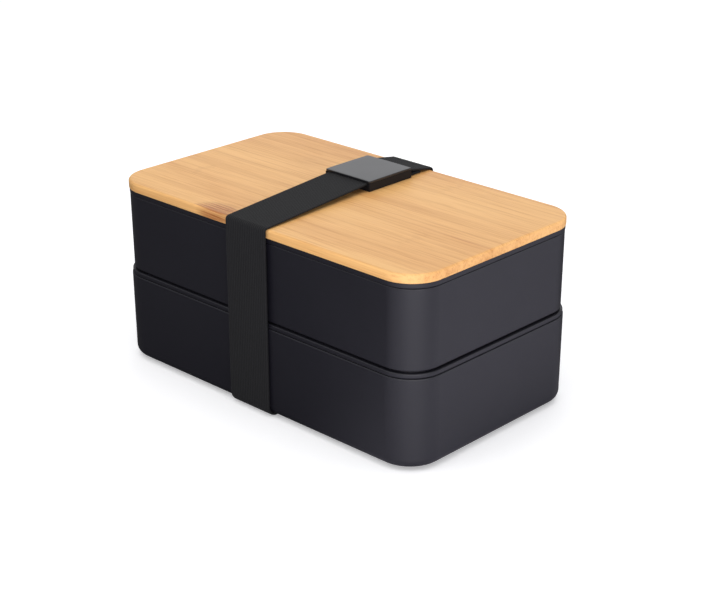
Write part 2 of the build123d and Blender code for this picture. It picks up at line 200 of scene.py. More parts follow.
class TierSettings(bpy.types.PropertyGroup):
    """The moulded tiers and lids"""

    wall: length("Wall", "Wall thickness of the tiers", 0.0022)
    floor: length("Floor", "Floor thickness of the tiers", 0.0022)
    draft: angle("Draft", "Slope of the moulded walls", math.radians(0.45))
    base_round: length("Base edge", "Radius of the lower tier's base edge", 0.004)
    inner_round: length("Inner edge", "Radius between floor and wall", 0.003)
    rim_round: length("Rim edge", "Radius of the rims", 0.0005)
    flange_round: length("Flange edge", "Radius under the lids' flanges", 0.0007)
    foot_round: length("Foot edge", "Radius of the upper tier's foot", 0.001)
    foot_step: length("Foot step", "How far the foot stands in from the wall", 0.0014)
    nest_clearance: length("Nest clearance", "Gap round the upper tier's foot", 0.0003)
    nest_depth: length("Nest depth", "Depth of the recess for the foot", 0.0014)
    nest_gap: length("Shadow gap", "Gap between the inner lid and the upper tier's wall", 0.0008)
    plug_clearance: length("Plug clearance", "Gap round the lids' plugs", 0.0004)
    plug_wall: length("Plug wall", "Wall of the lids' plugs", 0.0018)
    tray_depth: length("Tray depth", "Depth of the cutlery tray", 0.007)
    plate: length("Liner plate", "Thickness of the lid liner's plate", 0.0016)
    boss_inset: length("Boss inset", "Distance of the liner's boss from the board's edge", 0.007)
    boss_height: length("Boss height", "Height of the liner's boss", 0.0012)
    groove_depth: length("Groove depth", "Depth of the seal grooves", 0.0009)
    groove_drop: length("Groove drop", "Distance of the groove under the rim", 0.0014)
    groove_height: length("Groove height", "Height of the seal grooves", 0.002)
    colour: tint("Plastic", "Colour of the moulded plastic", (0.0062, 0.0058, 0.0098))
    roughness: bpy.props.FloatProperty(
        name="Roughness", description="Roughness of the moulded plastic", default=0.46,
        min=0.0, max=1.0)
    seal_colour: tint("Silicone", "Colour of the seals", (0.30, 0.31, 0.32))


class StrapSettings(bpy.types.PropertyGroup):
    """The elastic strap"""

    ribs: bpy.props.IntProperty(
        name="Ribs", description="Lengthwise ribs across the webbing", default=22, min=4)
    rib_depth: length("Rib depth", "Depth of the valleys between ribs", 0.00011)
    pick_pitch: length("Pick pitch", "Spacing of the crosswise yarns", 0.00055)
    base_bend: length("Base bend", "Radius of the bend under the base's edge", 0.0046)
    lid_bend: length("Lid bend", "Radius of the bend over the lid's edge", 0.0015)
    webbing_gap: length("Webbing gap", "Gap between the webbing and the buckle", 0.00015)
    tail_length: length("Tail", "Length of the tail behind the buckle", 0.008)
    colour: tint("Yarn", "Colour of the yarn", (0.0112, 0.0112, 0.0120))


class BuckleSettings(bpy.types.PropertyGroup):
    """The buckle"""

    edge: length("Cover edge", "Radius of the cover's edges", 0.0003)
    corner: length("Cover corner", "Radius of the cover's corners", 0.0008)
    side_wall: length("Side wall", "Thickness of the frame's side walls", 0.00125)
    sill: length("Sill", "Width of the sill across the frame's front", 0.0016)
    crown: length("Crown", "Rise of the cover's middle over its edges", 0.00012)
    colour: tint("Cover", "Colour of the glossy cover", (0.009, 0.009, 0.0105))


class StageSettings(bpy.types.PropertyGroup):
    """Floor, lights and camera"""

    aim: bpy.props.FloatVectorProperty(
        name="Aim", description="Point that the camera looks at", subtype="TRANSLATION",
        default=(-0.0014, 0.01615, 0.03142))
    azimuth: angle("Azimuth", "Camera direction round the box", math.radians(43.483))
    elevation: angle("Elevation", "Camera angle above the horizon", math.radians(22.69))
    distance: length("Distance", "Camera distance", 0.77209)
    lens: bpy.props.FloatProperty(
        name="Lens", description="Focal length in millimetres", default=82.167)
    floor_radius: length("Floor", "Radius of the round floor", 1.0)


# ---------------------------------------------------------------- shader helpers


def put(tree, kind, sockets=None, **settings):
    """A node with its settings made and its input sockets set or linked."""
    made = tree.nodes.new(kind)
    for key, value in settings.items():
        setattr(made, key, value)
    for key, value in (sockets or {}).items():
        if isinstance(value, bpy.types.NodeSocket):
            tree.links.new(value, made.inputs[key])
        else:
            made.inputs[key].default_value = value
    return made


def calc(tree, operation, first, second=0.0, third=0.0, clamp=False):
    """The output of a Math node."""
    return put(
        tree, "ShaderNodeMath", {0: first, 1: second, 2: third}, operation=operation, use_clamp=clamp
    ).outputs[0]


def blend_colour(tree, share, low, high):
    """The output of a colour Mix node."""
    mix = put(tree, "ShaderNodeMix", data_type="RGBA")
    for key, value in ((0, share), (6, low), (7, high)):
        if isinstance(value, bpy.types.NodeSocket):
            tree.links.new(value, mix.inputs[key])
        else:
            mix.inputs[key].default_value = value if key == 0 else (*value[:3], 1.0)
    return mix.outputs[2]


def ramp(tree, value, low, high, to_low=0.0, to_high=1.0):
    """A clamped, smooth change of range."""
    made = put(
        tree, "ShaderNodeMapRange",
        {"Value": value, "From Min": low, "From Max": high, "To Min": to_low, "To Max": to_high},
        interpolation_type="SMOOTHSTEP",
    )
    return made.outputs["Result"]


def stretched(tree, vector, scale):
    """A vector scaled along its axes."""
    made = put(tree, "ShaderNodeMapping", {"Vector": vector, "Scale": scale})
    return made.outputs["Vector"]


def noise(tree, vector, scale, detail=2.0, rough=0.5):
    """The value of a noise texture."""
    sockets = {"Vector": vector, "Scale": scale, "Detail": detail, "Roughness": rough}
    return put(tree, "ShaderNodeTexNoise", sockets).outputs["Fac"]


def new_group(name, inputs, outputs):
    """An empty shader group with its sockets, and its input and output nodes."""
    tree = bpy.data.node_groups.new(name, "ShaderNodeTree")
    for label, kind, default in inputs:
        socket = tree.interface.new_socket(label, in_out="INPUT", socket_type=kind)
        if default is not None:
            socket.default_value = default
    for label, kind in outputs:
        tree.interface.new_socket(label, in_out="OUTPUT", socket_type=kind)
    return tree, tree.nodes.new("NodeGroupInput").outputs, tree.nodes.new("NodeGroupOutput").inputs


def use_group(tree, group, sockets):
    """A group placed in a tree."""
    made = tree.nodes.new("ShaderNodeGroup")
    made.node_tree = group
    for key, value in sockets.items():
        if isinstance(value, bpy.types.NodeSocket):
            tree.links.new(value, made.inputs[key])
        else:
            made.inputs[key].default_value = value
    return made.outputs


def new_material(name, **principled):
    """A material with its tree, its Principled shader and its object coordinates."""
    if name in bpy.data.materials:
        raise RuntimeError(f"a material called {name} is already there")
    material = bpy.data.materials.new(name)
    material.use_nodes = True
    tree = material.node_tree
    shader = tree.nodes["Principled BSDF"]
    for key, value in principled.items():
        shader.inputs[key.replace("_", " ")].default_value = value
    where = tree.nodes.new("ShaderNodeTexCoord").outputs["Object"]
    return material, tree, shader, where


def bump(tree, shader, height, strength, distance):
    """Feeds a height into the shader's normal."""
    made = put(tree, "ShaderNodeBump", {"Height": height, "Strength": strength, "Distance": distance})
    tree.links.new(made.outputs["Normal"], shader.inputs["Normal"])


# ---------------------------------------------------------------- shared effects


def moulded_group():
    """The skin of a moulding: fine spark-eroded grain with slow, faint changes of gloss."""
    tree, given, out = new_group(
        "Moulded skin",
        [
            ("Vector", "NodeSocketVector", None),
            ("Color", "NodeSocketColor", (0.01, 0.01, 0.01, 1)),
            ("Roughness", "NodeSocketFloat", 0.4),
            ("Grain scale", "NodeSocketFloat", 2600.0),
        ],
        [("Color", "NodeSocketColor"), ("Roughness", "NodeSocketFloat"), ("Height", "NodeSocketFloat")],
    )
    grain = noise(tree, given["Vector"], given["Grain scale"], 2.0, 0.6)
    haze = noise(tree, given["Vector"], 34.0, 3.0, 0.55)
    flow = noise(tree, stretched(tree, given["Vector"], (14, 14, 60)), 1.0, 2.0)
    gloss = calc(tree, "MULTIPLY_ADD", haze, 0.10, calc(tree, "MULTIPLY_ADD", grain, 0.05, -0.075))
    tree.links.new(calc(tree, "ADD", given["Roughness"], gloss, clamp=True), out["Roughness"])
    tone = calc(tree, "MULTIPLY_ADD", flow, 0.16, 0.92)
    tinted = put(tree, "ShaderNodeVectorMath", {0: given["Color"], "Scale": tone}, operation="SCALE")
    tree.links.new(tinted.outputs[0], out["Color"])
    tree.links.new(grain, out["Height"])
    return tree


def yarn_group():
    """Woven yarns: lengthwise ribs and crosswise picks, read from a map in metres; the colour carries
    painted shade, darker in the valleys between ribs and in the dips of the picks.
    """
    tree, given, out = new_group(
        "Yarn",
        [
            ("UV", "NodeSocketVector", None),
            ("Color", "NodeSocketColor", (0.02, 0.02, 0.02, 1)),
            ("Rib pitch", "NodeSocketFloat", 0.0011),
            ("Pick pitch", "NodeSocketFloat", 0.00055),
        ],
        [("Color", "NodeSocketColor"), ("Roughness", "NodeSocketFloat"), ("Height", "NodeSocketFloat")],
    )
    split = put(tree, "ShaderNodeSeparateXYZ", {0: given["UV"]})
    across, along = split.outputs["X"], split.outputs["Y"]
    rib = calc(tree, "DIVIDE", across, given["Rib pitch"])
    rib_wave = calc(tree, "ABSOLUTE", calc(tree, "SINE", calc(tree, "MULTIPLY", rib, math.pi)))
    stagger = calc(tree, "MULTIPLY", calc(tree, "MODULO", calc(tree, "FLOOR", rib), 2.0), math.pi)
    pick = calc(tree, "MULTIPLY", calc(tree, "DIVIDE", along, given["Pick pitch"]), 2 * math.pi)
    pick_wave = calc(tree, "SINE", calc(tree, "ADD", pick, stagger))
    fuzz = noise(tree, stretched(tree, given["UV"], (2600, 900, 1)), 1.0, 2.0)
    height = calc(tree, "MULTIPLY_ADD", pick_wave, 0.22, calc(tree, "MULTIPLY", rib_wave, 0.6))
    height = calc(tree, "MULTIPLY_ADD", fuzz, 0.35, height)
    tree.links.new(height, out["Height"])
    # painted shade: the yarn's colour is darkened in the valleys between ribs and in the dips of the picks;
    # the fuzz on top is random tone
    painted_shade_and_fuzz = calc(tree, "MULTIPLY_ADD", rib_wave, 0.55, 0.50)
    painted_shade_and_fuzz = calc(tree, "MULTIPLY_ADD", pick_wave, 0.12, painted_shade_and_fuzz)
    painted_shade_and_fuzz = calc(tree, "MULTIPLY_ADD", fuzz, 0.35, calc(tree, "SUBTRACT", painted_shade_and_fuzz, 0.12))
    tinted = put(tree, "ShaderNodeVectorMath", {0: given["Color"], "Scale": painted_shade_and_fuzz}, operation="SCALE")
    tree.links.new(tinted.outputs[0], out["Color"])
    tree.links.new(calc(tree, "MULTIPLY_ADD", fuzz, 0.2, 0.72), out["Roughness"])
    return tree


# ---------------------------------------------------------------- materials


def bamboo_material(settings):
    """Laminated bamboo under a satin lacquer: staves, fibres, and the marks of the cane's nodes."""
    material, tree, shader, where = new_material("lacquered_bamboo", Specular_IOR_Level=0.34)
    place = put(tree, "ShaderNodeSeparateXYZ", {0: where})
    x, y = place.outputs["X"], place.outputs["Y"]
    stave = calc(tree, "DIVIDE", calc(tree, "ADD", y, 0.5), settings.stave_width)
    stave_id = calc(tree, "FLOOR", stave)
    stave_tone = put(
        tree, "ShaderNodeTexWhiteNoise", {"W": stave_id}, noise_dimensions="1D").outputs["Value"]
    slide = calc(tree, "MULTIPLY", stave_tone, 3.0)
    shift = put(tree, "ShaderNodeCombineXYZ", {"X": slide, "Z": stave_id}).outputs[0]
    moved = put(tree, "ShaderNodeVectorMath", {0: where, 1: shift}, operation="ADD").outputs[0]
    streaks = noise(tree, stretched(tree, moved, (6, 190, 190)), 1.0, 4.0, 0.62)
    bands = noise(tree, stretched(tree, where, (5, 34, 34)), 1.0, 2.0)
    lines = noise(tree, stretched(tree, moved, (16, 800, 800)), 1.0, 3.0, 0.62)
    fibres = noise(tree, stretched(tree, moved, (42, 1900, 1900)), 1.0, 3.0, 0.62)
    pores = noise(tree, stretched(tree, moved, (90, 4200, 4200)), 1.0, 1.0)

    dark = calc(tree, "MULTIPLY", ramp(tree, streaks, 0.42, 0.72), 0.26)
    dark = calc(tree, "MULTIPLY_ADD", ramp(tree, bands, 0.36, 0.68), 0.30, dark)
    dark = calc(tree, "MULTIPLY_ADD", ramp(tree, lines, 0.47, 0.68), 0.30, dark)
    dark = calc(tree, "MULTIPLY_ADD", ramp(tree, fibres, 0.50, 0.72), 0.34, dark)
    dark = calc(tree, "MULTIPLY_ADD", ramp(tree, pores, 0.62, 0.75), 0.10, dark)
    dark = calc(tree, "MULTIPLY_ADD", stave_tone, 0.12, dark, clamp=True)
    colour = blend_colour(tree, dark, settings.light, settings.dark)

    wander = noise(tree, stretched(tree, where, (60, 260, 260)), 1.0, 3.0, 0.6)
    wander = calc(tree, "MULTIPLY_ADD", wander, 0.014, -0.007)
    for at, reach, depth in CANE_MARKS:
        across = calc(tree, "ADD", calc(tree, "SUBTRACT", x, at[0]), wander)
        across = calc(tree, "DIVIDE", across, reach[0])
        along = calc(tree, "DIVIDE", calc(tree, "SUBTRACT", y, at[1]), reach[1])
        off = calc(tree, "ADD", calc(tree, "POWER", across, 2.0), calc(tree, "POWER", along, 2.0))
        torn = calc(tree, "MULTIPLY_ADD", lines, 2.6, calc(tree, "SUBTRACT", off, 1.45))
        mark = calc(tree, "MULTIPLY", ramp(tree, torn, 1.30, -0.2), depth)
        mark = calc(tree, "MULTIPLY", mark, ramp(tree, fibres, 0.36, 0.60, 0.35, 1.0))
        colour = blend_colour(tree, mark, colour, settings.knot)

    seam = calc(tree, "ABSOLUTE", calc(tree, "SUBTRACT", calc(tree, "FRACT", stave), 0.5))
    seam = calc(tree, "MULTIPLY", ramp(tree, seam, 0.488, 0.5), 0.14)
    colour = blend_colour(tree, seam, colour, settings.dark)
    tree.links.new(colour, shader.inputs["Base Color"])
    rough = calc(tree, "MULTIPLY_ADD", fibres, 0.16, 0.36)
    tree.links.new(rough, shader.inputs["Roughness"])
    bump(tree, shader, calc(tree, "MULTIPLY_ADD", pores, 0.4, fibres), 0.16, 0.00025)
    return material


def plastic_material(name, skin, colour, roughness, grain=2600.0, relief=0.10, **principled):
    """A moulded plastic or rubber with the shared skin."""
    material, tree, shader, where = new_material(name, **principled)
    sockets = {"Vector": where, "Color": (*colour, 1), "Roughness": roughness, "Grain scale": grain}
    made = use_group(tree, skin, sockets)
    tree.links.new(made["Color"], shader.inputs["Base Color"])
    tree.links.new(made["Roughness"], shader.inputs["Roughness"])
    bump(tree, shader, made["Height"], relief, 0.0001)
    return material


def yarn_material(name, yarn, colour, rib_pitch, pick_pitch):
    """Elastic webbing: dull yarns with the weave's ribs and picks."""
    material, tree, shader, _ = new_material(name, IOR=1.3)
    shader.inputs["Sheen Weight"].default_value = 0.04
    shader.inputs["Sheen Roughness"].default_value = 0.5
    uv = tree.nodes.new("ShaderNodeUVMap")
    uv.uv_map = "yarn"
    made = use_group(
        tree, yarn,
        {"UV": uv.outputs[0], "Color": (*colour, 1), "Rib pitch": rib_pitch, "Pick pitch": pick_pitch},
    )
    tree.links.new(made["Color"], shader.inputs["Base Color"])
    tree.links.new(made["Roughness"], shader.inputs["Roughness"])
    bump(tree, shader, made["Height"], 0.55, 0.00012)
    return material


def finish_material(name):
    """A material that is already made."""
    if name not in bpy.data.materials:
        raise RuntimeError(f"material {name} isn't made yet")
    return bpy.data.materials[name]


# ---------------------------------------------------------------- shapes


def filleted(points, steps=FILLET_STEPS):
    """A profile of (inset, height, radius) corners as (inset, height) points with round corners."""
    made = []
    last = len(points) - 1
    for k, (inset, height, radius) in enumerate(points):
        here = Vector((inset, height))
        if radius <= 0 or k in (0, last):
            made.append(here)
            continue
        to_last = (Vector(points[k - 1][:2]) - here).normalized()
        to_next = (Vector(points[k + 1][:2]) - here).normalized()
        half = to_last.angle(to_next) / 2
        bisector = (to_last + to_next).normalized()
        centre = here + bisector * (radius / math.sin(half))
        start = here + to_last * (radius / math.tan(half)) - centre
        end = here + to_next * (radius / math.tan(half)) - centre
        for n in range(steps + 1):
            spoke = start.slerp(end, n / steps)
            made.append(centre + spoke.normalized() * radius)
    return made


def set_outline(ring, inset, height, corner_radius):
    """Puts a ring of vertices on the box's rounded outline, drawn in by an inset."""
    per_corner = CORNER_STEPS + 1
    if inset >= corner_radius:
        raise RuntimeError("an outline drawn in past its corner radius would cross itself")
    signs = ((1, 1), (-1, 1), (-1, -1), (1, -1))
    for k, vertex in enumerate(ring):
        quarter, step = divmod(k, per_corner)
        turn = math.pi / 2 * (quarter + step / CORNER_STEPS)
        sx, sy = signs[quarter]
        vertex.co = (
            sx * (HALF_X - corner_radius) + (corner_radius - inset) * math.cos(turn),
            sy * (HALF_Y - corner_radius) + (corner_radius - inset) * math.sin(turn),
            height,
        )


def ring_edges(bm, ring):
    """The edges of a closed ring of vertices, in order."""
    return [bm.edges.get((a, b)) for a, b in zip(ring, ring[1:] + ring[:1])]


def extrude_ring(bm, ring):
    """Extrudes a closed ring and gives the new ring in the same order."""
    made = bmesh.ops.extrude_edge_only(bm, edges=ring_edges(bm, ring))["geom"]
    fresh = {v for v in made if isinstance(v, bmesh.types.BMVert)}
    return [next(e.other_vert(v) for e in v.link_edges if e.other_vert(v) in fresh) for v in ring]


def moulding(profile, corner_radius, closed=False):
    """The box's outline swept through a profile of (inset, height) points."""
    bm = bmesh.new()
    count = 4 * (CORNER_STEPS + 1)
    first = bmesh.ops.create_circle(bm, cap_ends=False, segments=count, radius=1.0)["verts"]
    set_outline(first, *profile[0], corner_radius)
    ring = first
    for inset, height in profile[1:]:
        ring = extrude_ring(bm, ring)
        set_outline(ring, inset, height, corner_radius)
    if closed:
        bmesh.ops.bridge_loops(bm, edges=ring_edges(bm, ring) + ring_edges(bm, first))
    else:
        for end in (first, ring):
            bmesh.ops.edgeloop_fill(bm, edges=ring_edges(bm, end))
    bmesh.ops.recalc_face_normals(bm, faces=bm.faces)
    return bm


def rounded(bm, edges, radius, steps):
    """Rounds edges to a radius."""
    bmesh.ops.bevel(
        bm, geom=edges, offset=radius, offset_type="OFFSET", affect="EDGES", segments=steps,
        profile=0.5, material=-1,
    )


def add_block(bm, low, high, edge=0.0, steps=2):
    """A block between two corners, with its edges rounded."""
    low, high = Vector(low), Vector(high)
    size = high - low
    matrix = Matrix.Translation((low + high) / 2) @ Matrix.Diagonal((*size, 1))
    made = bmesh.ops.create_cube(bm, size=1.0, matrix=matrix)["verts"]
    if edge > 0:
        rounded(bm, list({e for v in made for e in v.link_edges}), edge, steps)


def fused(bm):
    """Joins the crossing shells of a bmesh into one skin; the union's partner is left empty."""
    mesh = bpy.data.meshes.new("shells")
    bm.to_mesh(mesh)
    shells = bpy.data.objects.new("shells", mesh)
    nothing = bpy.data.objects.new("nothing", bpy.data.meshes.new("nothing"))
    for part in (shells, nothing):
        bpy.context.scene.collection.objects.link(part)
    union = shells.modifiers.new("union", "BOOLEAN")
    union.operation = "UNION"
    union.solver = "EXACT"
    union.use_self = True
    union.object = nothing
    skin = bpy.data.meshes.new_from_object(shells.evaluated_get(bpy.context.evaluated_depsgraph_get()))
    bm.clear()
    bm.from_mesh(skin)
    bmesh.ops.remove_doubles(bm, verts=bm.verts, dist=MERGE_DISTANCE)
    bmesh.ops.dissolve_degenerate(bm, edges=bm.edges, dist=MERGE_DISTANCE)
    for part in (shells, nothing):
        bpy.data.objects.remove(part)


def finished(name, bm, material, body, replaces=(), weighted=True):
    """Turns a bmesh into a piece that rides on a body."""
    mesh = bpy.data.meshes.new(name)
    bm.to_mesh(mesh)
    bm.free()
    mesh.shade_smooth()
    mesh.set_sharp_from_angle(angle=SHARP_ANGLE)
    mesh.materials.append(finish_material(material))
    piece = bpy.data.objects.new(name, mesh)
    bpy.context.scene.collection.objects.link(piece)
    if weighted:
        normals = piece.modifiers.new("normals", "WEIGHTED_NORMAL")
        normals.keep_sharp = True
    if body:
        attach(piece, body)
    if replaces:
        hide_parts(*replaces)
    return piece


def refinish(node, material):
    """Gives a CAD node that is kept its better material."""
    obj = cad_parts[node]
    obj.data.materials.clear()
    obj.data.materials.append(finish_material(material))


# ---------------------------------------------------------------- pieces


class BENTO_OT_materials(bpy.types.Operator):
    """Makes the materials that the pieces share"""

    bl_idname = "bento.materials"
    bl_label = "Materials"

    def execute(self, context):
        scene = context.scene
        tiers, strap, buckle = scene.bento_tiers, scene.bento_strap, scene.bento_buckle
        skin, yarn = moulded_group(), yarn_group()
        bamboo_material(scene.bento_board)
        plastic_material("moulded_pp", skin, tiers.colour, tiers.roughness)
        plastic_material("seal_silicone", skin, tiers.seal_colour, 0.55, 1800.0, 0.05)
        plastic_material("cutlery_plastic", skin, (0.016, 0.016, 0.018), 0.34, 2200.0, 0.04)
        plastic_material("buckle_satin", skin, buckle.colour, 0.42, 2600.0, 0.05, Specular_IOR_Level=0.12)
        plastic_material("buckle_polished", skin, buckle.colour, 0.30, 2600.0, 0.02)
        low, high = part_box("strap_front_1")
        rib_pitch = (high.x - low.x) / strap.ribs
        yarn_material("webbing", yarn, strap.colour, rib_pitch, strap.pick_pitch)
        return {"FINISHED"}


class BENTO_OT_board(bpy.types.Operator):
    """Builds the bamboo board"""

    bl_idname = "bento.board"
    bl_label = "Bamboo board"

    def execute(self, context):
        s = context.scene.bento_board
        low, high = BOARD_LOW.z, BOARD_HIGH.z
        profile = filleted([
            (s.pocket_inset + POCKET_LANDING, low + s.pocket_depth, 0),
            (s.pocket_inset, low + s.pocket_depth, CRISP_EDGE),
            (s.pocket_inset, low, CRISP_EDGE),
            (0, low, s.bottom_round),
            (0, high, s.top_round),
            (s.top_round + TOP_LANDING, high, 0),
        ], 6)
        bm = moulding(profile, s.corner_radius)
        finished("bamboo_board", bm, "lacquered_bamboo", "lid", ["lid_board"])
        return {"FINISHED"}


def slope(settings, height):
    """How far a drafted wall comes in over a height."""
    return height * math.tan(settings.draft)


def add_divider_ribs(bm, settings, divider, inner_inset, floor, top):
    """The two pairs of ribs that hold a divider, one pair each side of the middle."""
    low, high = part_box(divider)
    half = (high.x - low.x) / 2 + RIB_CLEARANCE
    middle = (high.x + low.x) / 2
    wall_y = HALF_Y - inner_inset - slope(settings, top - floor)
    root = wall_y + RIB_WALL_SHARE * settings.wall
    for side in (-1, 1):
        for step in (-1, 1):
            for end in (-1, 1):
                x = side * middle + step * (half + RIB_WIDTH / 2)
                y_low, y_high = sorted((end * root, end * (wall_y - RIB_REACH)))
                add_block(
                    bm, (x - RIB_WIDTH / 2, y_low, floor - settings.floor * RIB_FLOOR_SHARE),
                    (x + RIB_WIDTH / 2, y_high, floor + RIB_RISE), CRISP_EDGE,
                )


class BENTO_OT_tiers(bpy.types.Operator):
    """Builds the two tiers"""

    bl_idname = "bento.tiers"
    bl_label = "Tiers"

    def execute(self, context):
        s = context.scene.bento_tiers
        radius = context.scene.bento_board.corner_radius
        flat = FLAT_SHARE * radius
        base, top = level("lower_tier", 0), level("lower_tier", 1)
        rim = inset_of("lower_tier")
        floor = base + s.floor
        profile = filleted([
            (flat, base, 0),
            (rim + slope(s, top - base), base, s.base_round),
            (rim, top, s.rim_round),
            (rim + s.wall, top, s.rim_round),
            (rim + s.wall + slope(s, top - floor), floor, s.inner_round),
            (flat, floor, 0),
        ], 8)
        bm = moulding(profile, radius)
        add_divider_ribs(bm, s, "lower_divider", rim + s.wall, floor, top)
        fused(bm)
        finished("lower_tub", bm, "moulded_pp", "root", ["lower_tier"])

        foot, top = level("upper_tier", 0), level("upper_tier", 1)
        rim = inset_of("upper_tier")
        wall_bottom = foot + s.nest_depth + s.nest_gap
        floor = foot + s.floor
        low_inset = rim + slope(s, top - wall_bottom)
        profile = filleted([
            (flat, foot, 0),
            (low_inset + s.foot_step, foot, s.foot_round),
            (low_inset + s.foot_step, wall_bottom, 0),
            (low_inset, wall_bottom, s.rim_round),
            (rim, top, s.rim_round),
            (rim + s.wall, top, s.rim_round),
            (rim + s.wall + slope(s, top - floor), floor, s.inner_round),
            (flat, floor, 0),
        ], 8)
        bm = moulding(profile, radius)
        add_divider_ribs(bm, s, "upper_divider", rim + s.wall, floor, top)
        fused(bm)
        finished("upper_tub", bm, "moulded_pp", "upper_tier", ["upper_tier"])
        for node in ("lower_divider", "upper_divider"):
            refinish(node, "moulded_pp")
        return {"FINISHED"}


def groove(plug, rim_level, s):
    """The seal's groove in a plug's wall, from its lower to its upper edge."""
    high = rim_level - s.groove_drop
    low = high - s.groove_height
    return [(plug, low, 0), (plug + s.groove_depth, low, 0), (plug + s.groove_depth, high, 0),
            (plug, high, 0)]


class BENTO_OT_lids(bpy.types.Operator):
    """Builds the inner lid, the lid liner and their seals"""

    bl_idname = "bento.lids"
    bl_label = "Lids and seals"

    def execute(self, context):
        s = context.scene.bento_tiers
        radius = context.scene.bento_board.corner_radius
        flat = FLAT_SHARE * radius
        under, flange_top = level("inner_lid", 0), level("inner_lid", 1)
        rim_level = level("lower_tier", 1)
        plug = inset_of("lower_tier") + s.wall + s.plug_clearance
        nest_floor = flange_top - s.nest_depth
        tray_floor = nest_floor - s.tray_depth
        tray = plug + s.plug_wall
        rim = inset_of("upper_tier")
        wall_bottom = flange_top + s.nest_gap
        nest = rim + slope(s, level("upper_tier", 1) - wall_bottom) + s.foot_step - s.nest_clearance
        flange = inset_of("inner_lid")
        profile = filleted([
            (flat, under, 0),
            (plug + slope(s, rim_level - under), under, s.foot_round),
            *groove(plug, rim_level, s),
            (plug, rim_level, 0),
            (flange, rim_level, s.flange_round),
            (flange, flange_top, s.rim_round),
            (nest, flange_top, CRISP_EDGE),
            (nest, nest_floor, 0),
            (tray, nest_floor, TRAY_EDGE),
            (tray, tray_floor, TRAY_FILLET),
            (flat, tray_floor, 0),
        ], 5)
        bm = moulding(profile, radius)
        rib_half = half_length("knife")
        for y in (-TRAY_RIB_Y, TRAY_RIB_Y):
            add_block(
                bm, (-rib_half, y - TRAY_RIB_WIDTH / 2, tray_floor - TRAY_RIB_SINK),
                (rib_half, y + TRAY_RIB_WIDTH / 2, tray_floor + TRAY_RIB_HEIGHT), TRAY_RIB_EDGE,
            )
        fused(bm)
        finished("cutlery_tray_lid", bm, "moulded_pp", "inner_lid", ["inner_lid"])

        low, high = level("lid_liner", 0), BOARD_LOW.z
        rim_level = level("upper_tier", 1)
        plug = inset_of("upper_tier") + s.wall + s.plug_clearance
        outer = inset_of("lid_liner")
        inner = plug + s.plug_wall
        profile = filleted([
            (flat, high - s.plate, 0),
            (inner, high - s.plate, PLUG_FILLET),
            (inner, low, PLUG_EDGE),
            (plug, low, PLUG_EDGE),
            *groove(plug, rim_level, s),
            (plug, rim_level, 0),
            (outer, rim_level, s.flange_round),
            (outer, high, CRISP_EDGE),
            (s.boss_inset, high, 0),
            (s.boss_inset, high + s.boss_height, CRISP_EDGE),
            (flat, high + s.boss_height, 0),
        ], 4)
        bm = moulding(profile, radius)
        finished("liner", bm, "moulded_pp", "lid", ["lid_liner"])

        for node, body in (("inner_lid_seal", "inner_lid"), ("lid_seal", "lid")):
            low, high = level(node, 0), level(node, 1)
            proud = inset_of(node)
            deep = proud + SEAL_PROUD + s.groove_depth - SEAL_BACK_GAP
            waist = proud + SEAL_WAIST
            lip = (high - low) * SEAL_LIP_SHARE
            middle = (low + high) / 2
            profile = filleted([
                (deep, low, SEAL_EDGE),
                (waist, low, SEAL_EDGE),
                (proud, low + lip, SEAL_LIP_EDGE),
                (waist, middle, SEAL_EDGE),
                (proud, high - lip, SEAL_LIP_EDGE),
                (waist, high, SEAL_EDGE),
                (deep, high, 0),
            ], 3)
            bm = moulding(profile, radius, closed=True)
            finished(f"{node}_ring", bm, "seal_silicone", body, [node])
        return {"FINISHED"}


class BENTO_OT_cutlery(bpy.types.Operator):
    """Finishes the fork, knife and spoon"""

    bl_idname = "bento.cutlery"
    bl_label = "Cutlery"

    def execute(self, context):
        for node in ("fork", "knife", "spoon"):
            refinish(node, "cutlery_plastic")
        return {"FINISHED"}


def bar_places():
    """The middle of the buckle's centre bar along Y, and how far off its outer bars lie."""
    low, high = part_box("buckle_frame")
    return (low.y + high.y) / 2, (high.y - low.y) / 2 - BAR_END_INSET


def webbing_section(width, thickness, settings):
    """The webbing's ribbed cross-section as (across, out) points, in order round it."""
    count = settings.ribs * POINTS_PER_RIB
    face = []
    for k in range(count + 1):
        across = -width / 2 + width * k / count
        crest = abs(math.sin(math.pi * k / POINTS_PER_RIB))
        drop = settings.rib_depth * (1 - crest)
        margin = min(k, count - k) / POINTS_PER_RIB
        drop += thickness * EDGE_THINNING * max(0.0, 1 - margin) ** 2
        face.append((across, thickness / 2 - drop))
    back = [(across, -out) for across, out in reversed(face)]
    return face + back


def sweep_webbing(path, width, thickness, settings, start_length=0.0):
    """Webbing along a path of (x, y, z, pitch) stations; pitch turns the outward side from +Z."""
    section = webbing_section(width, thickness, settings)
    bm = bmesh.new()
    uv_layer = bm.loops.layers.uv.new("yarn")
    ring = bmesh.ops.create_circle(bm, cap_ends=False, segments=len(section), radius=1.0)["verts"]
    first = ring
    length = {}
    position = start_length
    last = None
    for x, y, z, pitch in path:
        here = Vector((x, y, z))
        if last is not None:
            ring = extrude_ring(bm, ring)
            position += (here - last).length
        last = here
        outward = Vector((0, math.sin(pitch), math.cos(pitch)))
        for (across, out), vertex in zip(section, ring):
            vertex.co = here + Vector((across, 0, 0)) + outward * out
            length[vertex] = (across, position)
    for end in (first, ring):
        bmesh.ops.edgeloop_fill(bm, edges=ring_edges(bm, end))
    bmesh.ops.recalc_face_normals(bm, faces=bm.faces)
    for face in bm.faces:
        for loop in face.loops:
            loop[uv_layer].uv = length[loop.vert]
    return bm, position


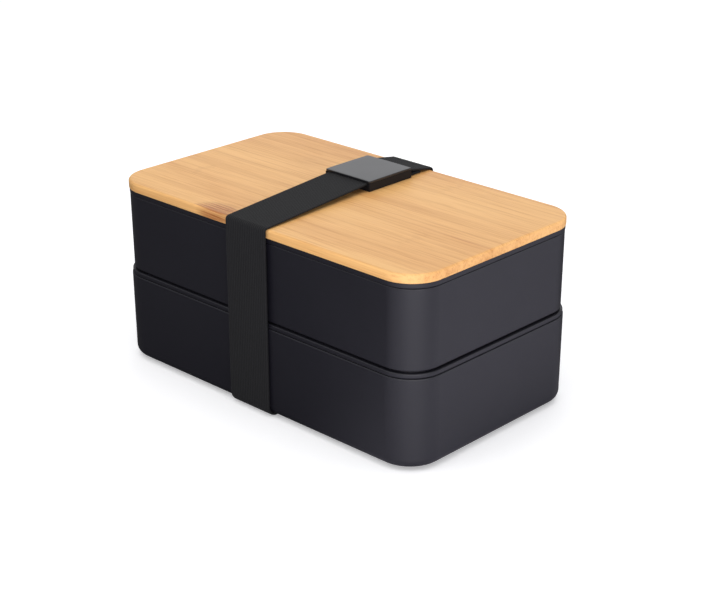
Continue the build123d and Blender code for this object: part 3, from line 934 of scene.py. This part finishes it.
def arc_stations(x, centre, radius, start, end, steps):
    """Stations round a bend about a centre (y, z); angles are pitches of the outward side."""
    stations = []
    for k in range(steps + 1):
        pitch = start + (end - start) * k / steps
        stations.append(
            (x, centre[0] + radius * math.sin(pitch), centre[1] + radius * math.cos(pitch), pitch)
        )
    return stations


def straight_stations(start, end, pitch, steps):
    """Stations along a straight run between two (x, y, z) points."""
    low, high = Vector(start), Vector(end)
    return [(*low.lerp(high, k / steps), pitch) for k in range(steps + 1)]


def joined(*runs):
    """Runs of stations as one path, without the doubled stations where they meet."""
    path = []
    for run in runs:
        for station in run:
            if not path or (Vector(station[:3]) - Vector(path[-1][:3])).length > SAME_PLACE:
                path.append(station)
    return path


class BENTO_OT_strap(bpy.types.Operator):
    """Builds the elastic strap round the box"""

    bl_idname = "bento.strap"
    bl_label = "Strap"

    def execute(self, context):
        s = context.scene.bento_strap
        low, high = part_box("strap_front_1")
        width, thickness = high.x - low.x, high.y - low.y
        front_x = (low.x + high.x) / 2
        front_y = (low.y + high.y) / 2
        rear_low, rear_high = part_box("strap_rear_1")
        rear_x = (rear_low.x + rear_high.x) / 2
        rear_y = -front_y
        corner = level("strap_bottom", 1)
        quarter = math.pi / 2
        under = thickness / 2

        bend = s.base_bend
        centre_z = under + bend
        path = joined(
            straight_stations((front_x, front_y, corner), (front_x, front_y, centre_z), -quarter, 1),
            arc_stations(front_x, (front_y + bend, centre_z), bend, -quarter, -2 * quarter, 8),
            straight_stations(
                (front_x, front_y + bend, under), (rear_x, rear_y - bend, under), -2 * quarter, 24),
            arc_stations(rear_x, (rear_y - bend, centre_z), bend, -2 * quarter, -3 * quarter, 8),
            straight_stations((rear_x, rear_y, centre_z), (rear_x, rear_y, corner), -3 * quarter, 1),
        )
        bm, _ = sweep_webbing(path, width, thickness, s)
        finished("strap_under", bm, "webbing", "root", ["strap_bottom"], False)

        for face, x, y, pitch in (
            ("front", front_x, front_y, -quarter), ("rear", rear_x, rear_y, quarter)
        ):
            for k, (below, above) in enumerate(zip(STRAP_CHAIN, STRAP_CHAIN[1:]), 1):
                node = f"strap_{face}_{k}"
                bottom, top = level(node, 0), level(node, 1)
                path = straight_stations((x, y, bottom), (x, y, top), pitch, RUN_STEPS)
                bm, _ = sweep_webbing(path, width, thickness, s, bottom)
                piece = finished(f"{node}_webbing", bm, "webbing", None, [node], False)
                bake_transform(piece)

        cover_low, cover_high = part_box("buckle_cover")
        inside = level("buckle_frame", 1) - s.webbing_gap - thickness / 2
        tail = BOARD_TOP + TAIL_GAP + thickness / 2
        bend = s.lid_bend
        start_z = level("strap_top_front", 0)
        rest_z = BOARD_TOP + REST_GAP + thickness / 2
        bend_z = rest_z - bend
        loop = (inside - tail) / 2
        buckle_y, bar_spread = bar_places()

        edge_y = front_y + bend
        enter_y = cover_low.y
        rise = math.atan2(inside - rest_z, enter_y - edge_y)
        drop_y = buckle_y - bar_spread + HALF_BAR + s.webbing_gap + thickness / 2
        front_tail_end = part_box("strap_top_front")[1].y
        path = joined(
            straight_stations((front_x, front_y, start_z), (front_x, front_y, bend_z), -quarter, 1),
            arc_stations(front_x, (edge_y, bend_z), bend, -quarter, -rise, 8),
            straight_stations((front_x, edge_y, rest_z), (rear_x, enter_y, inside), -rise, 24),
            straight_stations((rear_x, enter_y + FOLD_STEP, inside), (rear_x, drop_y - loop, inside), 0, 2),
            arc_stations(rear_x, (drop_y - loop, inside - loop), loop, 0, quarter, 6),
            arc_stations(rear_x, (drop_y + loop, tail + loop), -loop, quarter, 0, 6),
            straight_stations((rear_x, drop_y + loop, tail), (rear_x, front_tail_end, tail), 0, 4),
        )
        bm, _ = sweep_webbing(path, width, thickness, s, start_z)
        finished("strap_over_front", bm, "webbing", "strap_top", ["strap_top_front"], False)

        edge_y = rear_y - bend
        leave_y = cover_high.y
        fall = math.atan2(inside - rest_z, edge_y - leave_y)
        turn_y = buckle_y + bar_spread - HALF_BAR - s.webbing_gap - thickness / 2 + loop
        path = joined(
            straight_stations((rear_x, rear_y, start_z), (rear_x, rear_y, bend_z), quarter, 1),
            arc_stations(rear_x, (edge_y, bend_z), bend, quarter, fall, 8),
            straight_stations((rear_x, edge_y, rest_z), (rear_x, leave_y, inside), fall, 8),
            straight_stations((rear_x, leave_y - FOLD_STEP, inside), (rear_x, turn_y, inside), 0, 2),
            arc_stations(rear_x, (turn_y, (inside + tail) / 2), loop, 0, -2 * quarter, 10),
            straight_stations(
                (rear_x, turn_y, tail), (rear_x, leave_y + s.tail_length, tail), -2 * quarter, 6),
        )
        bm, _ = sweep_webbing(path, width, thickness, s, start_z)
        finished("strap_over_rear", bm, "webbing", "strap_top", ["strap_top_rear"], False)
        return {"FINISHED"}


def crowned(bm, low, high, rise):
    """Cuts a plate's top into a grid and lowers it gently towards its edges."""
    low, high = Vector(low), Vector(high)
    for normal in ((1, 0, 0), (0, 1, 0)):
        for k in range(1, COVER_CUTS):
            geometry = bm.verts[:] + bm.edges[:] + bm.faces[:]
            bmesh.ops.bisect_plane(
                bm, geom=geometry, plane_co=low.lerp(high, k / COVER_CUTS), plane_no=normal)
    centre = (low + high) / 2
    half = (high - low) / 2
    for vertex in bm.verts:
        if vertex.co.z > centre.z:
            off_x = (vertex.co.x - centre.x) / half.x
            off_y = (vertex.co.y - centre.y) / half.y
            vertex.co.z -= rise * (off_x**2 + off_y**2) / 2


class BENTO_OT_buckle(bpy.types.Operator):
    """Builds the buckle's frame and cover"""

    bl_idname = "bento.buckle"
    bl_label = "Buckle"

    def execute(self, context):
        s = context.scene.bento_buckle
        low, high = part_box("buckle_cover")
        bm = bmesh.new()
        add_block(bm, low, high)
        uprights = [e for e in bm.edges if abs(e.verts[0].co.z - e.verts[1].co.z) > UPRIGHT_RISE]
        rounded(bm, uprights, s.corner, 5)
        rims = [e for e in bm.edges if abs(e.verts[0].co.z - e.verts[1].co.z) < SAME_PLACE]
        rounded(bm, rims, s.edge, 3)
        crowned(bm, low, high, s.crown)
        finished("buckle_plate", bm, "buckle_polished", "strap_top", ["buckle_cover"])

        low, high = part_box("buckle_frame")
        bm = bmesh.new()
        left, right = low.x + s.side_wall / 2, high.x - s.side_wall / 2
        for x in (low.x, high.x - s.side_wall):
            add_block(bm, (x, low.y, low.z), (x + s.side_wall, high.y, high.z), CRISP_EDGE)
        middle, spread = bar_places()
        bar_low = BOARD_TOP + BAR_LIFT
        for y in (middle - spread, middle, middle + spread):
            add_block(
                bm, (left, y - HALF_BAR, bar_low),
                (right, y + HALF_BAR, bar_low + BAR_THICKNESS), BAR_EDGE, 3,
            )
        add_block(
            bm, (left, low.y, low.z), (right, low.y + s.sill, BOARD_TOP + SILL_LIFT), CRISP_EDGE)
        fused(bm)
        finished("buckle_slide", bm, "buckle_satin", "strap_top", ["buckle_frame"])
        return {"FINISHED"}


# ---------------------------------------------------------------- stage


def area_light(name, energy, size, location, colour):
    """A softbox that faces the box."""
    data = bpy.data.lights.new(name, "AREA")
    data.energy = energy
    data.shape = "RECTANGLE"
    data.size, data.size_y = size
    data.color = colour
    light = bpy.data.objects.new(name, data)
    light.location = location
    light.rotation_euler = (Vector(SOFTBOX_AIM) - Vector(location)).to_track_quat("-Z", "Y").to_euler()
    bpy.context.scene.collection.objects.link(light)


class BENTO_OT_stage(bpy.types.Operator):
    """Sets up the floor, the lights and the camera"""

    bl_idname = "bento.stage"
    bl_label = "Stage"

    def execute(self, context):
        s = context.scene.bento_stage
        scene = context.scene
        aim = Vector(s.aim)
        back = Vector((
            math.sin(s.azimuth) * math.cos(s.elevation),
            -math.cos(s.azimuth) * math.cos(s.elevation),
            math.sin(s.elevation),
        ))
        data = bpy.data.cameras.new("camera")
        data.lens = s.lens
        data.clip_start, data.clip_end = 0.01, 50.0
        camera = bpy.data.objects.new("camera", data)
        camera.location = aim + back * s.distance
        camera.rotation_euler = (-back).to_track_quat("-Z", "Y").to_euler()
        scene.collection.objects.link(camera)
        scene.camera = camera
        scene.view_settings.view_transform = "Standard"

        bm = bmesh.new()
        bmesh.ops.create_circle(bm, cap_ends=True, segments=96, radius=s.floor_radius)
        mesh = bpy.data.meshes.new("floor")
        bm.to_mesh(mesh)
        bm.free()
        floor = bpy.data.objects.new("floor", mesh)
        scene.collection.objects.link(floor)
        material = bpy.data.materials.new("floor")
        material.use_nodes = True
        tree = material.node_tree
        shader = tree.nodes["Principled BSDF"]
        shader.inputs["Roughness"].default_value = 0.9
        shader.inputs["Specular IOR Level"].default_value = 0.1
        seen = tree.nodes.new("ShaderNodeLightPath").outputs["Is Camera Ray"]
        where = tree.nodes.new("ShaderNodeTexCoord").outputs["Object"]
        place = put(tree, "ShaderNodeSeparateXYZ", {0: where}).outputs
        frontwards = calc(tree, "MULTIPLY", place["Y"], FLOOR_TURN[1])
        across = calc(tree, "MULTIPLY_ADD", place["X"], FLOOR_TURN[0], frontwards)
        bounced = blend_colour(tree, ramp(tree, across, *FLOOR_CHANGE), FLOOR_DARK, FLOOR_LIGHT)
        shown = blend_colour(tree, seen, bounced, FLOOR_SEEN)
        tree.links.new(shown, shader.inputs["Base Color"])
        tree.links.new(calc(tree, "MULTIPLY", seen, FLOOR_GLOW), shader.inputs["Emission Strength"])
        shader.inputs["Emission Color"].default_value = (1, 1, 1, 1)
        mesh.materials.append(material)

        world = bpy.data.worlds.new("studio")
        world.use_nodes = True
        scene.world = world
        tree = world.node_tree
        ground = tree.nodes["Background"]
        seen = tree.nodes.new("ShaderNodeLightPath").outputs["Is Camera Ray"]
        tree.links.new(blend_colour(tree, seen, WORLD_LIGHT, WORLD_SEEN), ground.inputs["Color"])

        for softbox in SOFTBOXES:
            area_light(*softbox)
        return {"FINISHED"}


class BENTO_PT_panel(bpy.types.Panel):
    """Lists the steps that build the box"""

    bl_idname = "BENTO_PT_panel"
    bl_label = "Bento box"
    bl_space_type = "VIEW_3D"
    bl_region_type = "UI"
    bl_category = "Bento"

    def draw(self, context):
        for step in STEPS:
            self.layout.operator(step.bl_idname)
        for name, _ in SETTINGS:
            group = getattr(context.scene, name)
            box = self.layout.box()
            for key in group.__annotations__:
                box.prop(group, key)


SETTINGS = (
    ("bento_board", BoardSettings),
    ("bento_tiers", TierSettings),
    ("bento_strap", StrapSettings),
    ("bento_buckle", BuckleSettings),
    ("bento_stage", StageSettings),
)

STEPS = (
    BENTO_OT_stage,
    BENTO_OT_materials,
    BENTO_OT_board,
    BENTO_OT_tiers,
    BENTO_OT_lids,
    BENTO_OT_cutlery,
    BENTO_OT_strap,
    BENTO_OT_buckle,
)


def register():
    for name, kind in SETTINGS:
        bpy.utils.register_class(kind)
        setattr(bpy.types.Scene, name, bpy.props.PointerProperty(type=kind))
    for kind in (*STEPS, BENTO_PT_panel):
        bpy.utils.register_class(kind)


def unregister():
    for kind in (BENTO_PT_panel, *reversed(STEPS)):
        bpy.utils.unregister_class(kind)
    for name, kind in reversed(SETTINGS):
        delattr(bpy.types.Scene, name)
        bpy.utils.unregister_class(kind)


def main():
    register()
    for step in STEPS:
        _, name = step.bl_idname.split(".")
        getattr(bpy.ops.bento, name)()
    bpy.context.view_layer.update()


if __name__ == "__main__":
    main()
